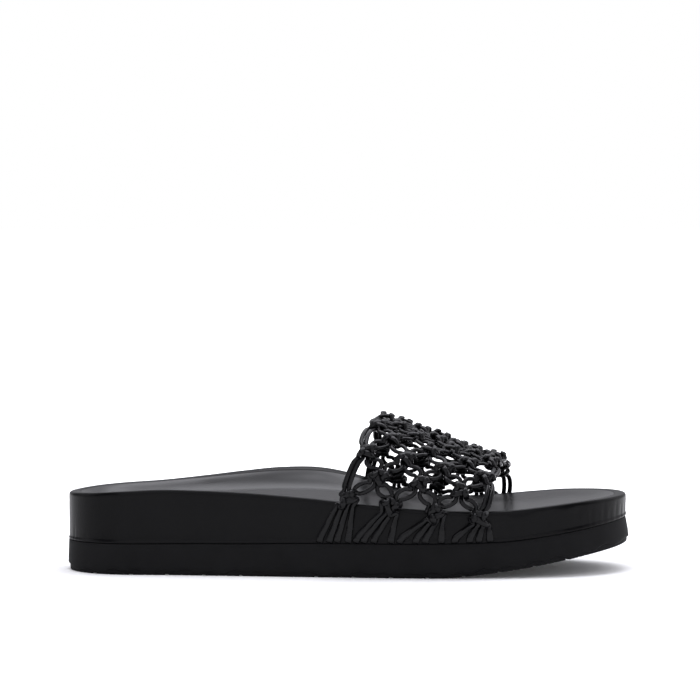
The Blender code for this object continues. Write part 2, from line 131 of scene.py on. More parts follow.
def setCamera():
    aim = Vector(picture["aim"])
    lift = picture["elevation"]
    away = Vector((0, -math.cos(lift), math.sin(lift)))
    bpy.ops.object.camera_add(location=aim + picture["distance"] * away)
    camera = bpy.context.object
    camera.name = "pictureCamera"
    camera.rotation_euler = (math.pi / 2 - lift + picture["aimAbove"], 0, 0)
    camera.data.sensor_fit = "HORIZONTAL"
    camera.data.sensor_width = picture["sensor"]
    scale = picture["pixelsPerMetre"] * picture["distance"] / picture["framePixels"]
    camera.data.lens = scale * picture["sensor"]
    camera.data.clip_end = picture["seesUntil"]
    scene.camera = camera


studio = {
    "floorSize": 60,
    "floorColour": "#f4f4f3",
    "floorRoughness": 0.95,
    "floorShine": 0.1,
    "floorGlow": 1.0,  # painted glow: the floor itself emits light, strongest far from the sandal to keep it white, fading near the sandal so that its shadow shows
    "glowFrom": 0.2,
    "glowTo": 0.9,
    # painted glow left under the sandal, lightening its shadow
    "glowUnder": 0.03,
    "white": "#ffffff",  # of the glow and of the room
    "seenStrength": 1.0,  # of the room as the camera sees it
    "aroundStrength": 0.06,
    "lampColour": "#f8f8ff",
    "lampAim": (0.09, 0, 0.03),
    "overhead": {"place": (0.1, -0.02, 1.2), "size": (1.2, 0.5), "watts": 12},
    "rear": {"place": (0.1, 0.75, 1.0), "size": (1.8, 0.5), "watts": 11},
    "front": {"place": (0.1, -1.7, 1.15), "size": (3.0, 2.3), "watts": 29},
    "heelSide": {"place": (-1.2, 0.1, 0.7), "size": (0.9, 1.0), "watts": 4},
    "toeSide": {"place": (1.2, 0.25, 0.65), "size": (1.3, 1.2), "watts": 8},
    "behind": {"place": (0.1, 1.7, 0.6), "size": (3.4, 1.2), "watts": 7.2},
}


def setStudio():
    bpy.ops.mesh.primitive_plane_add(size=studio["floorSize"])
    floor = bpy.context.object
    floor.name = "paintedGlowTable"
    made, tree, shader = newMaterial("paintedGlowTableSurface")  # white shooting table, matte on top, with a painted glow
    shader.inputs["Base Color"].default_value = hexColour(studio["floorColour"])
    shader.inputs["Roughness"].default_value = studio["floorRoughness"]
    shader.inputs["Specular IOR Level"].default_value = studio["floorShine"]
    places = addNode(tree, "ShaderNodeTexCoord").outputs["Object"]
    away = addNode(tree, "ShaderNodeVectorMath", {"operation": "LENGTH"}, {0: places})
    # painted glow: the emission grows with the distance from the sandal
    glow = addNode(tree, "ShaderNodeMapRange", {
        "From Min": studio["glowFrom"],
        "From Max": studio["glowTo"],
        "To Min": studio["glowUnder"],
        "To Max": studio["floorGlow"],
    }, {"Value": away.outputs["Value"]})
    shader.inputs["Emission Color"].default_value = hexColour(studio["white"])
    tree.links.new(glow.outputs["Result"], shader.inputs["Emission Strength"])
    floor.data.materials.append(made)

    for name in ("overhead", "rear", "front", "heelSide", "toeSide", "behind"):
        lamp = studio[name]
        bpy.ops.object.light_add(type="AREA", location=lamp["place"])
        light = bpy.context.object
        light.name = name + "Light"
        light.data.shape = "RECTANGLE"
        light.data.size, light.data.size_y = lamp["size"]
        light.data.energy = lamp["watts"]
        light.data.color = hexColour(studio["lampColour"])[:3]
        toSandal = Vector(studio["lampAim"]) - Vector(lamp["place"])
        light.rotation_euler = toSandal.to_track_quat("-Z", "Y").to_euler()

    world = bpy.data.worlds.new("whiteRoom")
    scene.world = world
    world.use_nodes = True
    tree = world.node_tree
    room = tree.nodes["Background"]
    room.inputs["Color"].default_value = hexColour(studio["white"])
    room.inputs["Strength"].default_value = studio["aroundStrength"]
    seen = addNode(tree, "ShaderNodeBackground", {"Strength": studio["seenStrength"]})
    seen.inputs["Color"].default_value = hexColour(studio["white"])
    rays = addNode(tree, "ShaderNodeLightPath")
    either = addNode(tree, "ShaderNodeMixShader", None, {0: rays.outputs["Is Camera Ray"]})
    tree.links.new(room.outputs[0], either.inputs[1])
    tree.links.new(seen.outputs[0], either.inputs[2])
    tree.links.new(either.outputs[0], tree.nodes["World Output"].inputs[0])
    scene.view_settings.view_transform = "Standard"


deselectAll()
setCamera()
setStudio()
print("camera and studio are set")


# The last: sizes and sections that all the pieces share with the solids

sole = {
    "length": 255 * mm,
    "ballWidth": 92 * mm,
    "heelWidth": 60 * mm,
    "heelRound": 33 * mm,
    "toeRound": 65 * mm,
    "toeFullness": 2.2,
    "heelCentre": 40 * mm,
    "outsoleThickness": 14.2 * mm,
    "toeSpring": 13 * mm,
    "rimHeight": 38.3 * mm,
    "archRise": 9.8 * mm,
    "footbedDip": 5.5 * mm,
    "rimWidth": 5.2 * mm,
    "basinSlope": 17 * mm,
    "joint": 0.08 * mm,  # between outsole and midsole
    "flatFrom": 22 * mm,  # inside the outline, where a piece's closing strips start
    "toeMiddle": 0.7,  # the middle line ends this share of the toe's round from the toe
    "middleReach": 0.96,  # a ring shrinks at most by this share of its way to the middle line
    "creaseReach": 3,  # a crease has died out this many half widths away
    "smoothUnder": math.radians(40),
}

# share of the length, heel width 0 to ball width 1, middle as a share of the ball width
planTable = (
    (0.00, 0.00, 0.000),
    (0.16, 0.00, 0.000),
    (0.24, 0.06, -0.014),
    (0.32, 0.11, -0.034),
    (0.41, 0.21, -0.054),
    (0.49, 0.38, -0.052),
    (0.59, 0.72, -0.027),
    (0.66, 0.91, -0.004),
    (0.72, 0.98, 0.010),
    (0.78, 1.00, 0.020),
    (0.86, 1.00, 0.028),
    (1.00, 1.00, 0.034),
)

# share of the length, joint height, foot's lift, lateral rim, medial arch, footbed's dip
heightTable = (
    (0.000, 0.97, 0.00, 0.918, 0.00, 0.80),
    (0.055, 0.97, 0.00, 0.950, 0.00, 0.90),
    (0.160, 0.98, 0.00, 0.995, 0.00, 1.00),
    (0.235, 1.00, 0.00, 0.992, 0.23, 1.00),
    (0.310, 1.01, 0.00, 0.974, 0.56, 0.98),
    (0.380, 1.04, 0.00, 0.944, 0.87, 0.95),
    (0.450, 1.06, 0.00, 0.905, 1.00, 0.90),
    (0.520, 1.06, 0.00, 0.856, 0.78, 0.80),
    (0.590, 1.06, 0.00, 0.812, 0.27, 0.65),
    (0.660, 1.07, 0.00, 0.782, 0.00, 0.55),
    (0.720, 1.09, 0.10, 0.772, 0.00, 0.50),
    (0.780, 1.14, 0.25, 0.784, 0.03, 0.48),
    (0.840, 1.27, 0.44, 0.822, 0.03, 0.45),
    (0.890, 1.40, 0.61, 0.856, 0.03, 0.42),
    (0.940, 1.55, 0.79, 0.884, 0.00, 0.38),
    (1.000, 1.74, 1.00, 0.905, 0.00, 0.32),
)
spreadColumn, axisColumn = 1, 2
jointColumn, springColumn, rimColumn, archColumn, dipColumn = 1, 2, 3, 4, 5


def inFrame(x, y, z):  # lengths run from the back of the heel until here
    return Vector((x - sole["heelCentre"], y, z))


def soleAxis(x):
    return readTable(planTable, axisColumn, x / sole["length"]) * sole["ballWidth"]


def halfWidth(x):
    spread = readTable(planTable, spreadColumn, x / sole["length"])
    return (sole["heelWidth"] + spread * (sole["ballWidth"] - sole["heelWidth"])) / 2


def endRound(x):
    behind = min(max(1 - x / sole["heelRound"], 0), 1)
    ahead = min(max(1 - (sole["length"] - x) / sole["toeRound"], 0), 1)
    full = sole["toeFullness"]
    return math.sqrt(1 - behind**2) * (1 - ahead**full) ** (1 / full)


def jointHeight(x):
    return readTable(heightTable, jointColumn, x / sole["length"]) * sole["outsoleThickness"]


def footHeight(x):
    return max(readTable(heightTable, springColumn, x / sole["length"]), 0) * sole["toeSpring"]


def rimHeight(x, y):
    medial = min(max((1 + (y - soleAxis(x)) / halfWidth(x)) / 2, 0), 1)
    arch = readTable(heightTable, archColumn, x / sole["length"]) * sole["archRise"]
    return readTable(heightTable, rimColumn, x / sole["length"]) * sole["rimHeight"] + arch * medial**2


def footbedHeight(x, y, inward):
    slope = easeBetween((inward - sole["rimWidth"] / 2) / sole["basinSlope"])
    dip = readTable(heightTable, dipColumn, x / sole["length"]) * sole["footbedDip"]
    return rimHeight(x, y) - dip * slope


def heelToToe(heelValue, toeValue, extra=0):  # a distance that grows softly along the sole
    return lambda x: heelValue + (toeValue - heelValue) * easeBetween(x / sole["length"]) + extra


def midsoleSide(extra=0):
    return heelToToe(midsoleSizes["heelInset"], midsoleSizes["toeInset"], extra)


def soleOutline(count):
    half = count // 2
    heelShare, toeShare = sole["heelRound"] / sole["length"], sole["toeRound"] / sole["length"]
    heelSteps, toeSteps = half // 4, half // 3
    bodySteps = half - heelSteps - toeSteps
    along = [heelShare * (1 - math.cos(math.pi / 2 * k / heelSteps)) for k in range(heelSteps)]
    along += [heelShare + (1 - heelShare - toeShare) * k / bodySteps for k in range(bodySteps)]
    along += [1 - toeShare * (1 - math.sin(math.pi / 2 * k / toeSteps)) for k in range(toeSteps + 1)]
    sides = []
    for side in (-1, 1):
        xs = [share * sole["length"] for share in along]
        sides.append([(x, soleAxis(x) + side * halfWidth(x) * endRound(x)) for x in xs])
    lateral, medial = sides
    return lateral + medial[-2:0:-1]


def toMiddle(x, y):  # from a place on the outline to the middle line
    middleX = min(max(x, sole["heelRound"]), sole["length"] - sole["toeMiddle"] * sole["toeRound"])
    return Vector((middleX - x, soleAxis(middleX) - y))


def ringPlaces(outline, inward, share):
    # the outline moved in, and then by a share of what is left to the middle
    places = []
    for x, y in outline:
        pull = toMiddle(x, y)
        reach = sole["middleReach"] * pull.length
        distance = inward(x) if callable(inward) else inward
        moved = Vector((x, y)) + pull.normalized() * (distance + share * max(reach - distance, 0))
        places.append((moved.x, moved.y))
    return places


# Sole pieces: a circle laid on the outline and extruded ring by ring

def placeRing(piece, places):
    # moves the selected ring; the first is numbered, and extruded rings take that over
    mesh = bmesh.from_edit_mesh(piece.data)
    around = mesh.verts.layers.int.get("around")
    if around is None:
        around = mesh.verts.layers.int.new("around")
        mesh.verts.ensure_lookup_table()
        for i, vert in enumerate(mesh.verts):
            vert[around] = i
    for vert in mesh.verts:
        if vert.select:
            vert.co = places[vert[around]]
    bmesh.update_edit_mesh(piece.data)


def faceOutwards():
    bpy.ops.mesh.select_all(action="SELECT")
    bpy.ops.mesh.normals_make_consistent(inside=False)
    bpy.ops.object.mode_set(mode="OBJECT")


def growPiece(name, rings, count):
    outline = soleOutline(count)
    deselectAll()
    bpy.ops.mesh.primitive_circle_add(vertices=count, radius=sole["ballWidth"])
    piece = bpy.context.object
    piece.name = name
    bpy.ops.object.mode_set(mode="EDIT")
    bpy.ops.mesh.select_all(action="SELECT")
    for number, (inward, share, heightAt) in enumerate(rings):
        if number:
            bpy.ops.mesh.extrude_edges_move()
        flatPlaces = ringPlaces(outline, inward, share)
        placeRing(piece, [inFrame(x, y, heightAt(x, y)) for x, y in flatPlaces])
    bpy.ops.mesh.select_all(action="DESELECT")
    closeEnds(piece, count)
    faceOutwards()
    bpy.ops.object.shade_smooth_by_angle(angle=sole["smoothUnder"])
    return piece


def closeEnds(piece, count):
    # the first and the last ring are filled by strips from side to side
    mesh = bmesh.from_edit_mesh(piece.data)
    layer = mesh.verts.layers.int["around"]
    ends = []
    seen = set()
    for start in [edge for edge in mesh.edges if edge.is_boundary]:
        if start in seen:
            continue
        end, todo = {}, [start]
        while todo:
            edge = todo.pop()
            if edge in seen:
                continue
            seen.add(edge)
            for vert in edge.verts:
                end[vert[layer]] = vert
                todo += [near for near in vert.link_edges if near.is_boundary and near not in seen]
        ends.append(end)
    for end in ends:
        for i in range(count // 2):
            corners = []
            for number in (i, i + 1, (count - i - 1) % count, (count - i) % count):
                if end[number] not in corners:
                    corners.append(end[number])
            mesh.faces.new(corners)
    bmesh.update_edit_mesh(piece.data)


# Outsole: flared foam rubber with an inset tread and waved grooves

outsoleSizes = {
    "heelFlare": 0.3 * mm,
    "toeFlare": 1.5 * mm,
    "topRound": 0.22 * mm,
    "edgeRound": 0.6 * mm,
    "treadHeight": 1.8 * mm,
    "treadInset": 0.8 * mm,
    "treadWave": 0.75 * mm,  # the side's lower edge is scalloped over the tread
    "treadWaveLength": 11 * mm,
    "swellShare": 0.6,  # of a slower wave over the scallops, so that no two are alike
    "swellLength": 4.3 * mm,  # of one radian of that wave
    "flareCurve": 1.3,
    "grooveWidth": 3.2 * mm,
    "grooveTaper": 0.7 * mm,
    "grooveDepth": 2.3 * mm,
    "groovePitch": 16 * mm,
    "grooveWave": 2.5 * mm,
    "grooveWaveLength": 46 * mm,
    "sideDepth": 0.16,  # of the depth that is left at the sole's side
    "sideRise": 9 * mm,
    "barReach": 0.62,  # of the ball width, each way from the middle
    "barSteps": 36,
    "sipeWidth": 0.9 * mm,
    "sipeDepth": 0.7 * mm,
    "sipePlaces": (0.4, 0.6),  # shares of the pitch back from a groove
    "smoothUnder": math.radians(35),
    "outlinePoints": 220,
}


def makeOutsole():
    size = outsoleSizes
    r = size["edgeRound"]

    def scallop(x):
        wave = math.cos(2 * math.pi * x / size["treadWaveLength"])
        swell = math.cos(x / size["swellLength"])
        return size["treadWave"] * (wave + size["swellShare"] * swell)

    def foot(lift, wave=0):
        return lambda x, y: footHeight(x) + lift + wave * scallop(x)

    def side(share):
        low = size["treadHeight"] + r
        return lambda x, y: foot(low, 1 - share)(x, y) * (1 - share) + (top(0)(x, y) - t) * share

    def top(drop):
        return lambda x, y: jointHeight(x) - sole["joint"] / 2 - drop

    def flare(share, extra=0):
        return heelToToe(size["heelFlare"] * share, size["toeFlare"] * share, extra)

    tread, high, t = size["treadInset"], size["treadHeight"], size["topRound"]
    # the tread's foot and rounded edge, the step out over it, the side and the top
    rings = [(sole["flatFrom"], 0, foot(0)), (tread + 2 * r, 0, foot(0)), (tread + r, 0, foot(0))]
    rings += [(tread + 0.3 * r, 0, foot(0.3 * r)), (tread, 0, foot(r))]
    rings += [(tread, 0, foot(high - 0.2 * r, 1)), (tread - 0.2 * r, 0, foot(high, 1))]
    rings += [(r, 0, foot(high, 1)), (0.3 * r, 0, foot(high + 0.3 * r, 1))]
    for share in (0, 0.15, 0.4, 0.65, 0.85, 1):
        rings.append((flare(share ** size["flareCurve"]), 0, side(share)))
    rings += [(flare(1, 0.3 * t), 0, top(0.3 * t)), (flare(1, t), 0, top(0)), (flare(1, 2 * t), 0, top(0))]
    rings += [(sole["flatFrom"], 0, top(0))]
    piece = growPiece("outsole_moulded", rings, size["outlinePoints"])
    cutGrooves(piece)
    return piece


def makeBar(x0, width, taper, depth):
    # one waved bar across the sole, grown from a square
    size = outsoleSizes
    reach, steps = size["barReach"] * sole["ballWidth"], size["barSteps"]
    deselectAll()
    bpy.ops.mesh.primitive_circle_add(vertices=4, radius=width, fill_type="NGON")
    bar = bpy.context.object
    bpy.ops.object.mode_set(mode="EDIT")
    bpy.ops.mesh.select_all(action="SELECT")
    for step in range(steps + 1):
        if step:
            bpy.ops.mesh.extrude_region_move()
        y = reach * (2 * step / steps - 1)
        x = x0 + size["grooveWave"] * math.cos(2 * math.pi * y / size["grooveWaveLength"])
        foot, half = footHeight(x), width / 2
        fromEdge = halfWidth(x) * endRound(x) - abs(y - soleAxis(x))
        inside = easeBetween(fromEdge / size["sideRise"])
        roof = foot + depth * (size["sideDepth"] + (1 - size["sideDepth"]) * inside)
        corners = ((x - half, foot - depth), (x + half, foot - depth))
        corners += ((x + half - taper, roof), (x - half + taper, roof))
        placeRing(bar, [inFrame(cornerX, y, cornerZ) for cornerX, cornerZ in corners])
    faceOutwards()
    return bar


def cutGrooves(piece):
    size = outsoleSizes
    count = int((sole["length"] - size["groovePitch"]) / size["groovePitch"])
    bars = []
    for k in range(count + 1):
        x0 = size["groovePitch"] * (k + 1)
        if k < count:
            bars.append(makeBar(x0, size["grooveWidth"], size["grooveTaper"], size["grooveDepth"]))
        for share in size["sipePlaces"]:
            sipe = x0 - size["groovePitch"] * share
            bars.append(makeBar(sipe, size["sipeWidth"], 0, size["sipeDepth"]))
    activate(bars[0])
    for bar in bars:
        bar.select_set(True)
    bpy.ops.object.join()
    cutter = bpy.context.object
    activate(piece)
    cut = piece.modifiers.new("grooves", "BOOLEAN")
    cut.operation = "DIFFERENCE"
    cut.solver = "EXACT"
    cut.object = cutter
    bpy.ops.object.modifier_apply(modifier=cut.name)
    bpy.data.objects.remove(cutter, do_unlink=True)
    bpy.ops.object.shade_smooth_by_angle(angle=size["smoothUnder"])


# Midsole: foam wrapped in leather, rolled at its foot and rounded at its rim

midsoleSizes = {
    "heelInset": 0.4 * mm,
    "toeInset": 1.2 * mm,
    "rimFlat": 4.2 * mm,
    "lipWidth": 0.15 * mm,
    "lipDrop": 0.12 * mm,
    "recess": 1.9 * mm,
    "seam": 0.12 * mm,  # the insole's edge butts against the rim
    "wallReach": 3.5 * mm,  # nearer to the outline than this is the wall
    "rimTrue": 1.5 * mm,  # creases fade out over this height under the rim
    "creaseStart": 0.12,  # shares of the wall's height over which they fade in and out
    "creaseEnd": 0.25,
    "outlinePoints": 640,
}

# pleats and soft bulges of the wrap, pressed in: millimetres along the edge
# from the back of the heel by the lateral side, low and high end as shares of the
# wall, lean, half width, depth (under 0 for a ridge)
wrapCreases = (
    (7.5, -0.1, 0.34, 1.5, 0.7, 0.16),
    (10.0, -0.1, 0.24, 1.0, 0.6, 0.13),
    (13.2, -0.1, 0.40, 1.8, 0.8, 0.17),
    (17.0, -0.1, 0.22, 1.0, 0.7, 0.10),
    (23.0, -0.1, 0.30, 2.5, 1.0, 0.08),
    (31.0, 0.15, 1.10, 6.0, 5.0, 0.10),
    (58.0, 0.10, 0.90, -8.0, 7.0, 0.10),
    (92.0, 0.00, 0.80, 9.0, 8.0, -0.12),
    (124.0, 0.20, 1.10, 5.0, 7.0, 0.10),
    (219.0, 0.00, 0.95, 3.0, 6.0, -0.22),
    (232.0, 0.00, 0.90, 2.0, 5.0, 0.18),
    (243.0, 0.00, 1.00, -1.0, 3.4, -0.16),
    (249.5, -0.1, 0.90, -1.2, 1.5, 0.12),
    (253.5, -0.1, 0.62, -1.0, 1.1, 0.10),
    (257.0, -0.1, 0.88, -0.8, 1.0, 0.13),
    (260.6, -0.1, 0.50, -0.6, 1.0, 0.09),
    (264.5, -0.1, 0.92, 0.0, 1.2, 0.14),
    (269.0, -0.1, 0.60, 0.3, 1.0, 0.10),
    (274.0, -0.1, 0.90, 0.6, 1.2, 0.13),
    (279.5, -0.1, 0.72, 0.8, 1.0, 0.16),
    (285.0, -0.1, 0.88, 1.0, 1.2, 0.18),
    (291.0, -0.1, 0.70, 1.2, 1.1, 0.15),
    (298.0, -0.1, 0.85, 1.4, 1.4, 0.16),
    (310.0, 0.00, 0.95, 1.0, 4.0, -0.14),
    (370.0, 0.10, 0.90, 8.0, 8.0, 0.12),
    (430.0, 0.10, 1.00, -7.0, 8.0, -0.12),
    (486.0, 0.10, 0.90, 6.0, 7.0, 0.10),
    (536.0, -0.1, 0.32, -1.0, 0.8, 0.14),
    (541.0, -0.1, 0.26, -1.2, 0.7, 0.13),
)


def pressWrap(piece):
    size = midsoleSizes
    outline = soleOutline(size["outlinePoints"])
    reach = [0]
    for (x0, y0), (x1, y1) in zip(outline, outline[1:]):
        reach.append(reach[-1] + math.hypot(x1 - x0, y1 - y0))
    layer = piece.data.attributes["around"].data
    for vert in piece.data.vertices:
        number = layer[vert.index].value
        x, y = outline[number]
        low, high = jointHeight(x), rimHeight(x, y)
        here = Vector((vert.co.x + sole["heelCentre"], vert.co.y))
        if (Vector((x, y)) - here).length > size["wallReach"] or vert.co.z < low:
            continue
        up = (vert.co.z - low) / (high - low)
        deep = 0
        for start, bottom, top, lean, wide, depth in wrapCreases:
            off = (reach[number] / mm - start - lean * up) / wide
            if abs(off) < sole["creaseReach"]:
                fade = easeBetween((up - bottom) / size["creaseStart"])
                fade *= easeBetween((top - up) / size["creaseEnd"])
                deep += depth * fade * math.exp(-off * off)
        pull = toMiddle(x, y).normalized()
        fade = easeBetween((high - vert.co.z) / size["rimTrue"])
        vert.co += Vector((pull.x, pull.y, 0)) * deep * fade * mm


def makeMidsole():
    def foot(lift):
        return lambda x, y: jointHeight(x) + sole["joint"] / 2 + lift

    def up(share):
        return lambda x, y: foot(0)(x, y) * (1 - share) + rimHeight(x, y) * share

    def rim(drop):
        return lambda x, y: rimHeight(x, y) - drop

    def bed(drop, inward):
        return lambda x, y: footbedHeight(x, y, inward) - drop

    side, size = midsoleSide, midsoleSizes
    # in from the side and up from the joint: the wrap's rolled lower edge
    roll = ((1.5, 0), (0.6, 0.02), (0.25, 0.1), (0.02, 0.3), (-0.14, 0.56), (-0.18, 0.8))
    roll += ((-0.14, 1.0), (-0.01, 1.25), (0.12, 1.5), (0.16, 2.0))
    # in from the side, and shares of the way from the joint to the rim
    wall = ((0.15, 0.22), (0.13, 0.34), (0.1, 0.46), (0.06, 0.58), (0.03, 0.7))
    # in from the side and down from the rim: the rounded rim
    shoulder = ((0.02, 3.8), (0.0, 2.2), (0.02, 1.3), (0.1, 0.8))
    shoulder += ((0.27, 0.42), (0.54, 0.16), (0.9, 0.04), (1.7, 0.0))
    rings = [(sole["flatFrom"], 0, foot(0))]
    rings += [(side(inward * mm), 0, foot(lift * mm)) for inward, lift in roll]
    rings += [(side(inward * mm), 0, up(share)) for inward, share in wall]
    rings += [(side(inward * mm), 0, rim(drop * mm)) for inward, drop in shoulder]
    edge, flat = sole["rimWidth"], size["rimFlat"]
    rings += [(side(flat), 0, bed(0, flat)), (side(edge - size["lipWidth"]), 0, bed(0, edge))]
    rings += [(side(edge), 0, bed(size["lipDrop"], edge)), (side(edge), 0, bed(size["recess"], edge))]
    for share in (0.33, 0.66, 1):
        inward = edge + share * sole["basinSlope"]
        rings.append((side(inward), 0, bed(size["recess"], inward)))
    piece = growPiece("midsole_wrapped", rings, size["outlinePoints"])
    pressWrap(piece)
    return piece


# Insole: the footbed's leather lining, in the midsole's recess

insoleSizes = {
    "thickness": 1.6 * mm,
    "topRound": 0.12 * mm,
    "footRound": 0.1 * mm,
    "creaseMargin": 7 * mm,  # creases keep this far from the outline
    "creaseFade": 6 * mm,
    "outlinePoints": 320,
}

# soft troughs and ridges of the footbed, given in the sole's millimetres: from
# and to (along, medial), half width, depth (under 0 for a ridge)
bedCreases = (
    ((28, 17), (66, 22), 6.0, 0.35),
    ((66, 22), (112, 19), 6.5, 0.45),
    ((20, -4), (70, 2), 9.0, 0.25),
    ((84, 2), (128, 4), 8.0, -0.30),
    ((150, -30), (156, 34), 6.0, 0.25),
    ((178, -34), (188, 38), 5.0, 0.35),
    ((196, -30), (204, 34), 5.0, -0.20),
    ((212, -22), (216, 28), 6.0, 0.25),
)


def pressBed(piece):
    for vert in piece.data.vertices:
        here = Vector((vert.co.x + sole["heelCentre"], vert.co.y)) / mm
        deep = 0
        for start, end, wide, depth in bedCreases:
            start, end = Vector(start), Vector(end)
            run = end - start
            share = min(max((here - start).dot(run) / run.length_squared, 0), 1)
            off = (here - start - share * run).length / wide
            if off < sole["creaseReach"]:
                deep += depth * math.exp(-off * off)
        x = here.x * mm
        inside = halfWidth(x) * endRound(x) - abs(vert.co.y - soleAxis(x)) - insoleSizes["creaseMargin"]
        vert.co.z -= deep * mm * easeBetween(inside / insoleSizes["creaseFade"])


def makeInsole():
    side = midsoleSide
    edge = sole["rimWidth"] + midsoleSizes["seam"]
    deep = sole["rimWidth"] + sole["basinSlope"]

    def bed(inward, drop):
        return lambda x, y: footbedHeight(x, y, inward) - drop

    thick, low, high = insoleSizes["thickness"], insoleSizes["footRound"], insoleSizes["topRound"]
    slopeShares = (0.08, 0.17, 0.26, 0.36, 0.47, 0.58, 0.7, 0.85, 1)
    inwards = [edge + (deep - edge) * share for share in slopeShares]
    rings = [(side(inward), 0, bed(inward, thick)) for inward in inwards[::-1]]
    rings += [(side(edge + low), 0, bed(edge, thick)), (side(edge), 0, bed(edge, thick - low))]
    rings += [(side(edge), 0, bed(edge, high)), (side(edge + high), 0, bed(edge, 0))]
    rings += [(side(inward), 0, bed(inward, 0)) for inward in inwards]
    rings += [(side(deep), share, bed(deep, 0)) for share in (0.14, 0.28, 0.42, 0.56, 0.7, 0.84, 0.97)]
    piece = growPiece("insole_lining", rings, insoleSizes["outlinePoints"])
    pressBed(piece)
    return piece


# Net: sixteen leather cords in rows of square knots

net = {
    "rows": 12,
    "columns": 3,
    "cords": 16,
    "cordsPerKnot": 4,
    "cordWidth": 2.0 * mm,
    "cordThickness": 1.6 * mm,
    "cordSpacing": 2.2 * mm,
    "knotLength": 6.4 * mm,
    "standoff": 2.6 * mm,
    "tuckStandoff": 1.1 * mm,
    "tuckWidth": 3.1 * mm,  # the lace lies flat where it is tucked in
    "tuckThickness": 0.8 * mm,
    "tuckGap": 0.35 * mm,  # between the tucked lace and the wall
    "tuckLift": 0.9 * mm,  # over the joint
    "tuckFlat": 1.1,  # how fast the lace turns flat and comes to the wall on its way down
    "tuckClose": 1.7,
    "instepHeight": 67.6 * mm,
    "fullness": 2.6,
    "crestShift": 2 * mm,
    "eyeBulge": 1.7 * mm,
    "edgeBulge": 1.5 * mm,
    "edgeSpread": 0.3 * mm,  # of a pair of edge laces, past this row
    "spreadAfter": 8,
    "edgeWidth": 2.15 * mm,
    "wrapWidth": 3.0 * mm,  # in the wraps of a knot
    "wrapThickness": 1.5 * mm,
    "wrapLift": 1.4,  # millimetres over the net where a lace lies flat on the others
    "linkLift": 0.6 * mm,
    "linkStart": 0.16,  # of a knot's length, that a lace runs straight beside a knot
    "bulgeRange": (0.6, 1.35),  # shares of bulge and lift that a loose lace is drawn from
    "liftRange": (-0.5, 1.6),
    "tieAcross": (-0.4, 0.4),  # millimetres by which a knot is off its place
    "tieAlong": (-0.35, 0.35),
    "tieSlant": (-32, 32),  # degrees
    "tieSize": (0.95, 1.25),
    "rollHeight": 2.4 * mm,  # where the laces cross the midsole's rolled edge
    "firstRowSlants": (34, -38, 40, -14),  # degrees, as the near knots lie
    "archSamples": 48,
    "sides": 10,
    "step": 0.6 * mm,
    "seed": 11,
}

# row, instep edge and toe edge as shares of the length
edgeTable = (
    (-1, 0.460, 0.748),
    (0, 0.500, 0.725),
    (2, 0.532, 0.736),
    (4, 0.552, 0.748),
    (6, 0.566, 0.755),
    (8, 0.568, 0.767),
    (10, 0.560, 0.776),
    (12, 0.543, 0.780),
    (13, 0.523, 0.790),
)

# column, crest as a share of the instep height, first and last row as shares of the rim
archTable = (
    (-0.6, 1.02, 1.13, 0.84),
    (0, 1.00, 1.09, 0.84),
    (1, 0.920, 1.06, 0.80),
    (2, 0.820, 1.00, 0.79),
    (3, 0.735, 0.94, 0.80),
    (3.6, 0.69, 0.91, 0.80),
)

# where the sixteen cords go into the joint, in columns
tuckColumns = (
    (-0.11, 0.07, 0.21, 0.41),
    (0.55, 0.69, 0.87, 1.18),
    (1.34, 1.63, 1.80, 2.09),
    (2.33, 2.60, 2.77, 2.97),
)


def netX(column, row):
    instep, toe = readTable(edgeTable, 1, row), readTable(edgeTable, 2, row)
    return (instep + (toe - instep) * column / net["columns"]) * sole["length"]


def besideMidsole(x, side, standoff):
    reach = halfWidth(x) * endRound(x) - midsoleSide()(x) + standoff
    return soleAxis(x) + side * reach


archSections = {}


def archSection(column):
    lateralX, medialX, crestX = (netX(column, row) for row in (0, net["rows"], net["rows"] / 2))
    lateralY = besideMidsole(lateralX, -1, net["standoff"])
    medialY = besideMidsole(medialX, 1, net["standoff"])
    crestY = soleAxis(crestX) + net["crestShift"]
    crestZ = readTable(archTable, 1, column) * net["instepHeight"]
    lateralZ = rimHeight(lateralX, lateralY) * readTable(archTable, 2, column)
    medialZ = rimHeight(medialX, medialY) * readTable(archTable, 3, column)
    points = []
    for k in range(net["archSamples"] + 1):
        angle = math.pi * k / net["archSamples"]
        sideShare = abs(math.cos(angle)) ** (2 / net["fullness"])
        riseShare = abs(math.sin(angle)) ** (2 / net["fullness"])
        footY, footZ = (lateralY, lateralZ) if 2 * k <= net["archSamples"] else (medialY, medialZ)
        points.append(Vector((crestY + (footY - crestY) * sideShare, footZ + (crestZ - footZ) * riseShare)))
    reach = [0]
    for a, b in zip(points, points[1:]):
        reach.append(reach[-1] + (b - a).length)
    return [(s / reach[-1], p.x, p.y) for s, p in zip(reach, points)]


def archPlace(column, row):
    key = round(column, 3)
    if key not in archSections:
        archSections[key] = archSection(key)
    share = min(max(row / net["rows"], 0), 1)
    section = archSections[key]
    for (s0, y0, z0), (s1, y1, z1) in zip(section, section[1:]):
        if share <= s1:
            t = (share - s0) / (s1 - s0)
            return y0 + t * (y1 - y0), z0 + t * (z1 - z0)
    return section[-1][1:]


def netPlace(column, row):  # over the foot, or past the first and last row down the side
    x = netX(column, row)
    if 0 <= row <= net["rows"]:
        return inFrame(x, *archPlace(column, row))
    side, past = (-1, -row) if row < 0 else (1, row - net["rows"])
    startZ = archPlace(column, 0 if row < 0 else net["rows"])[1]
    endZ = jointHeight(x) + sole["joint"] + net["tuckLift"]
    standoff = net["standoff"] + (net["tuckStandoff"] - net["standoff"]) * past**3
    return inFrame(x, besideMidsole(x, side, standoff), startZ + (endZ - startZ) * past)


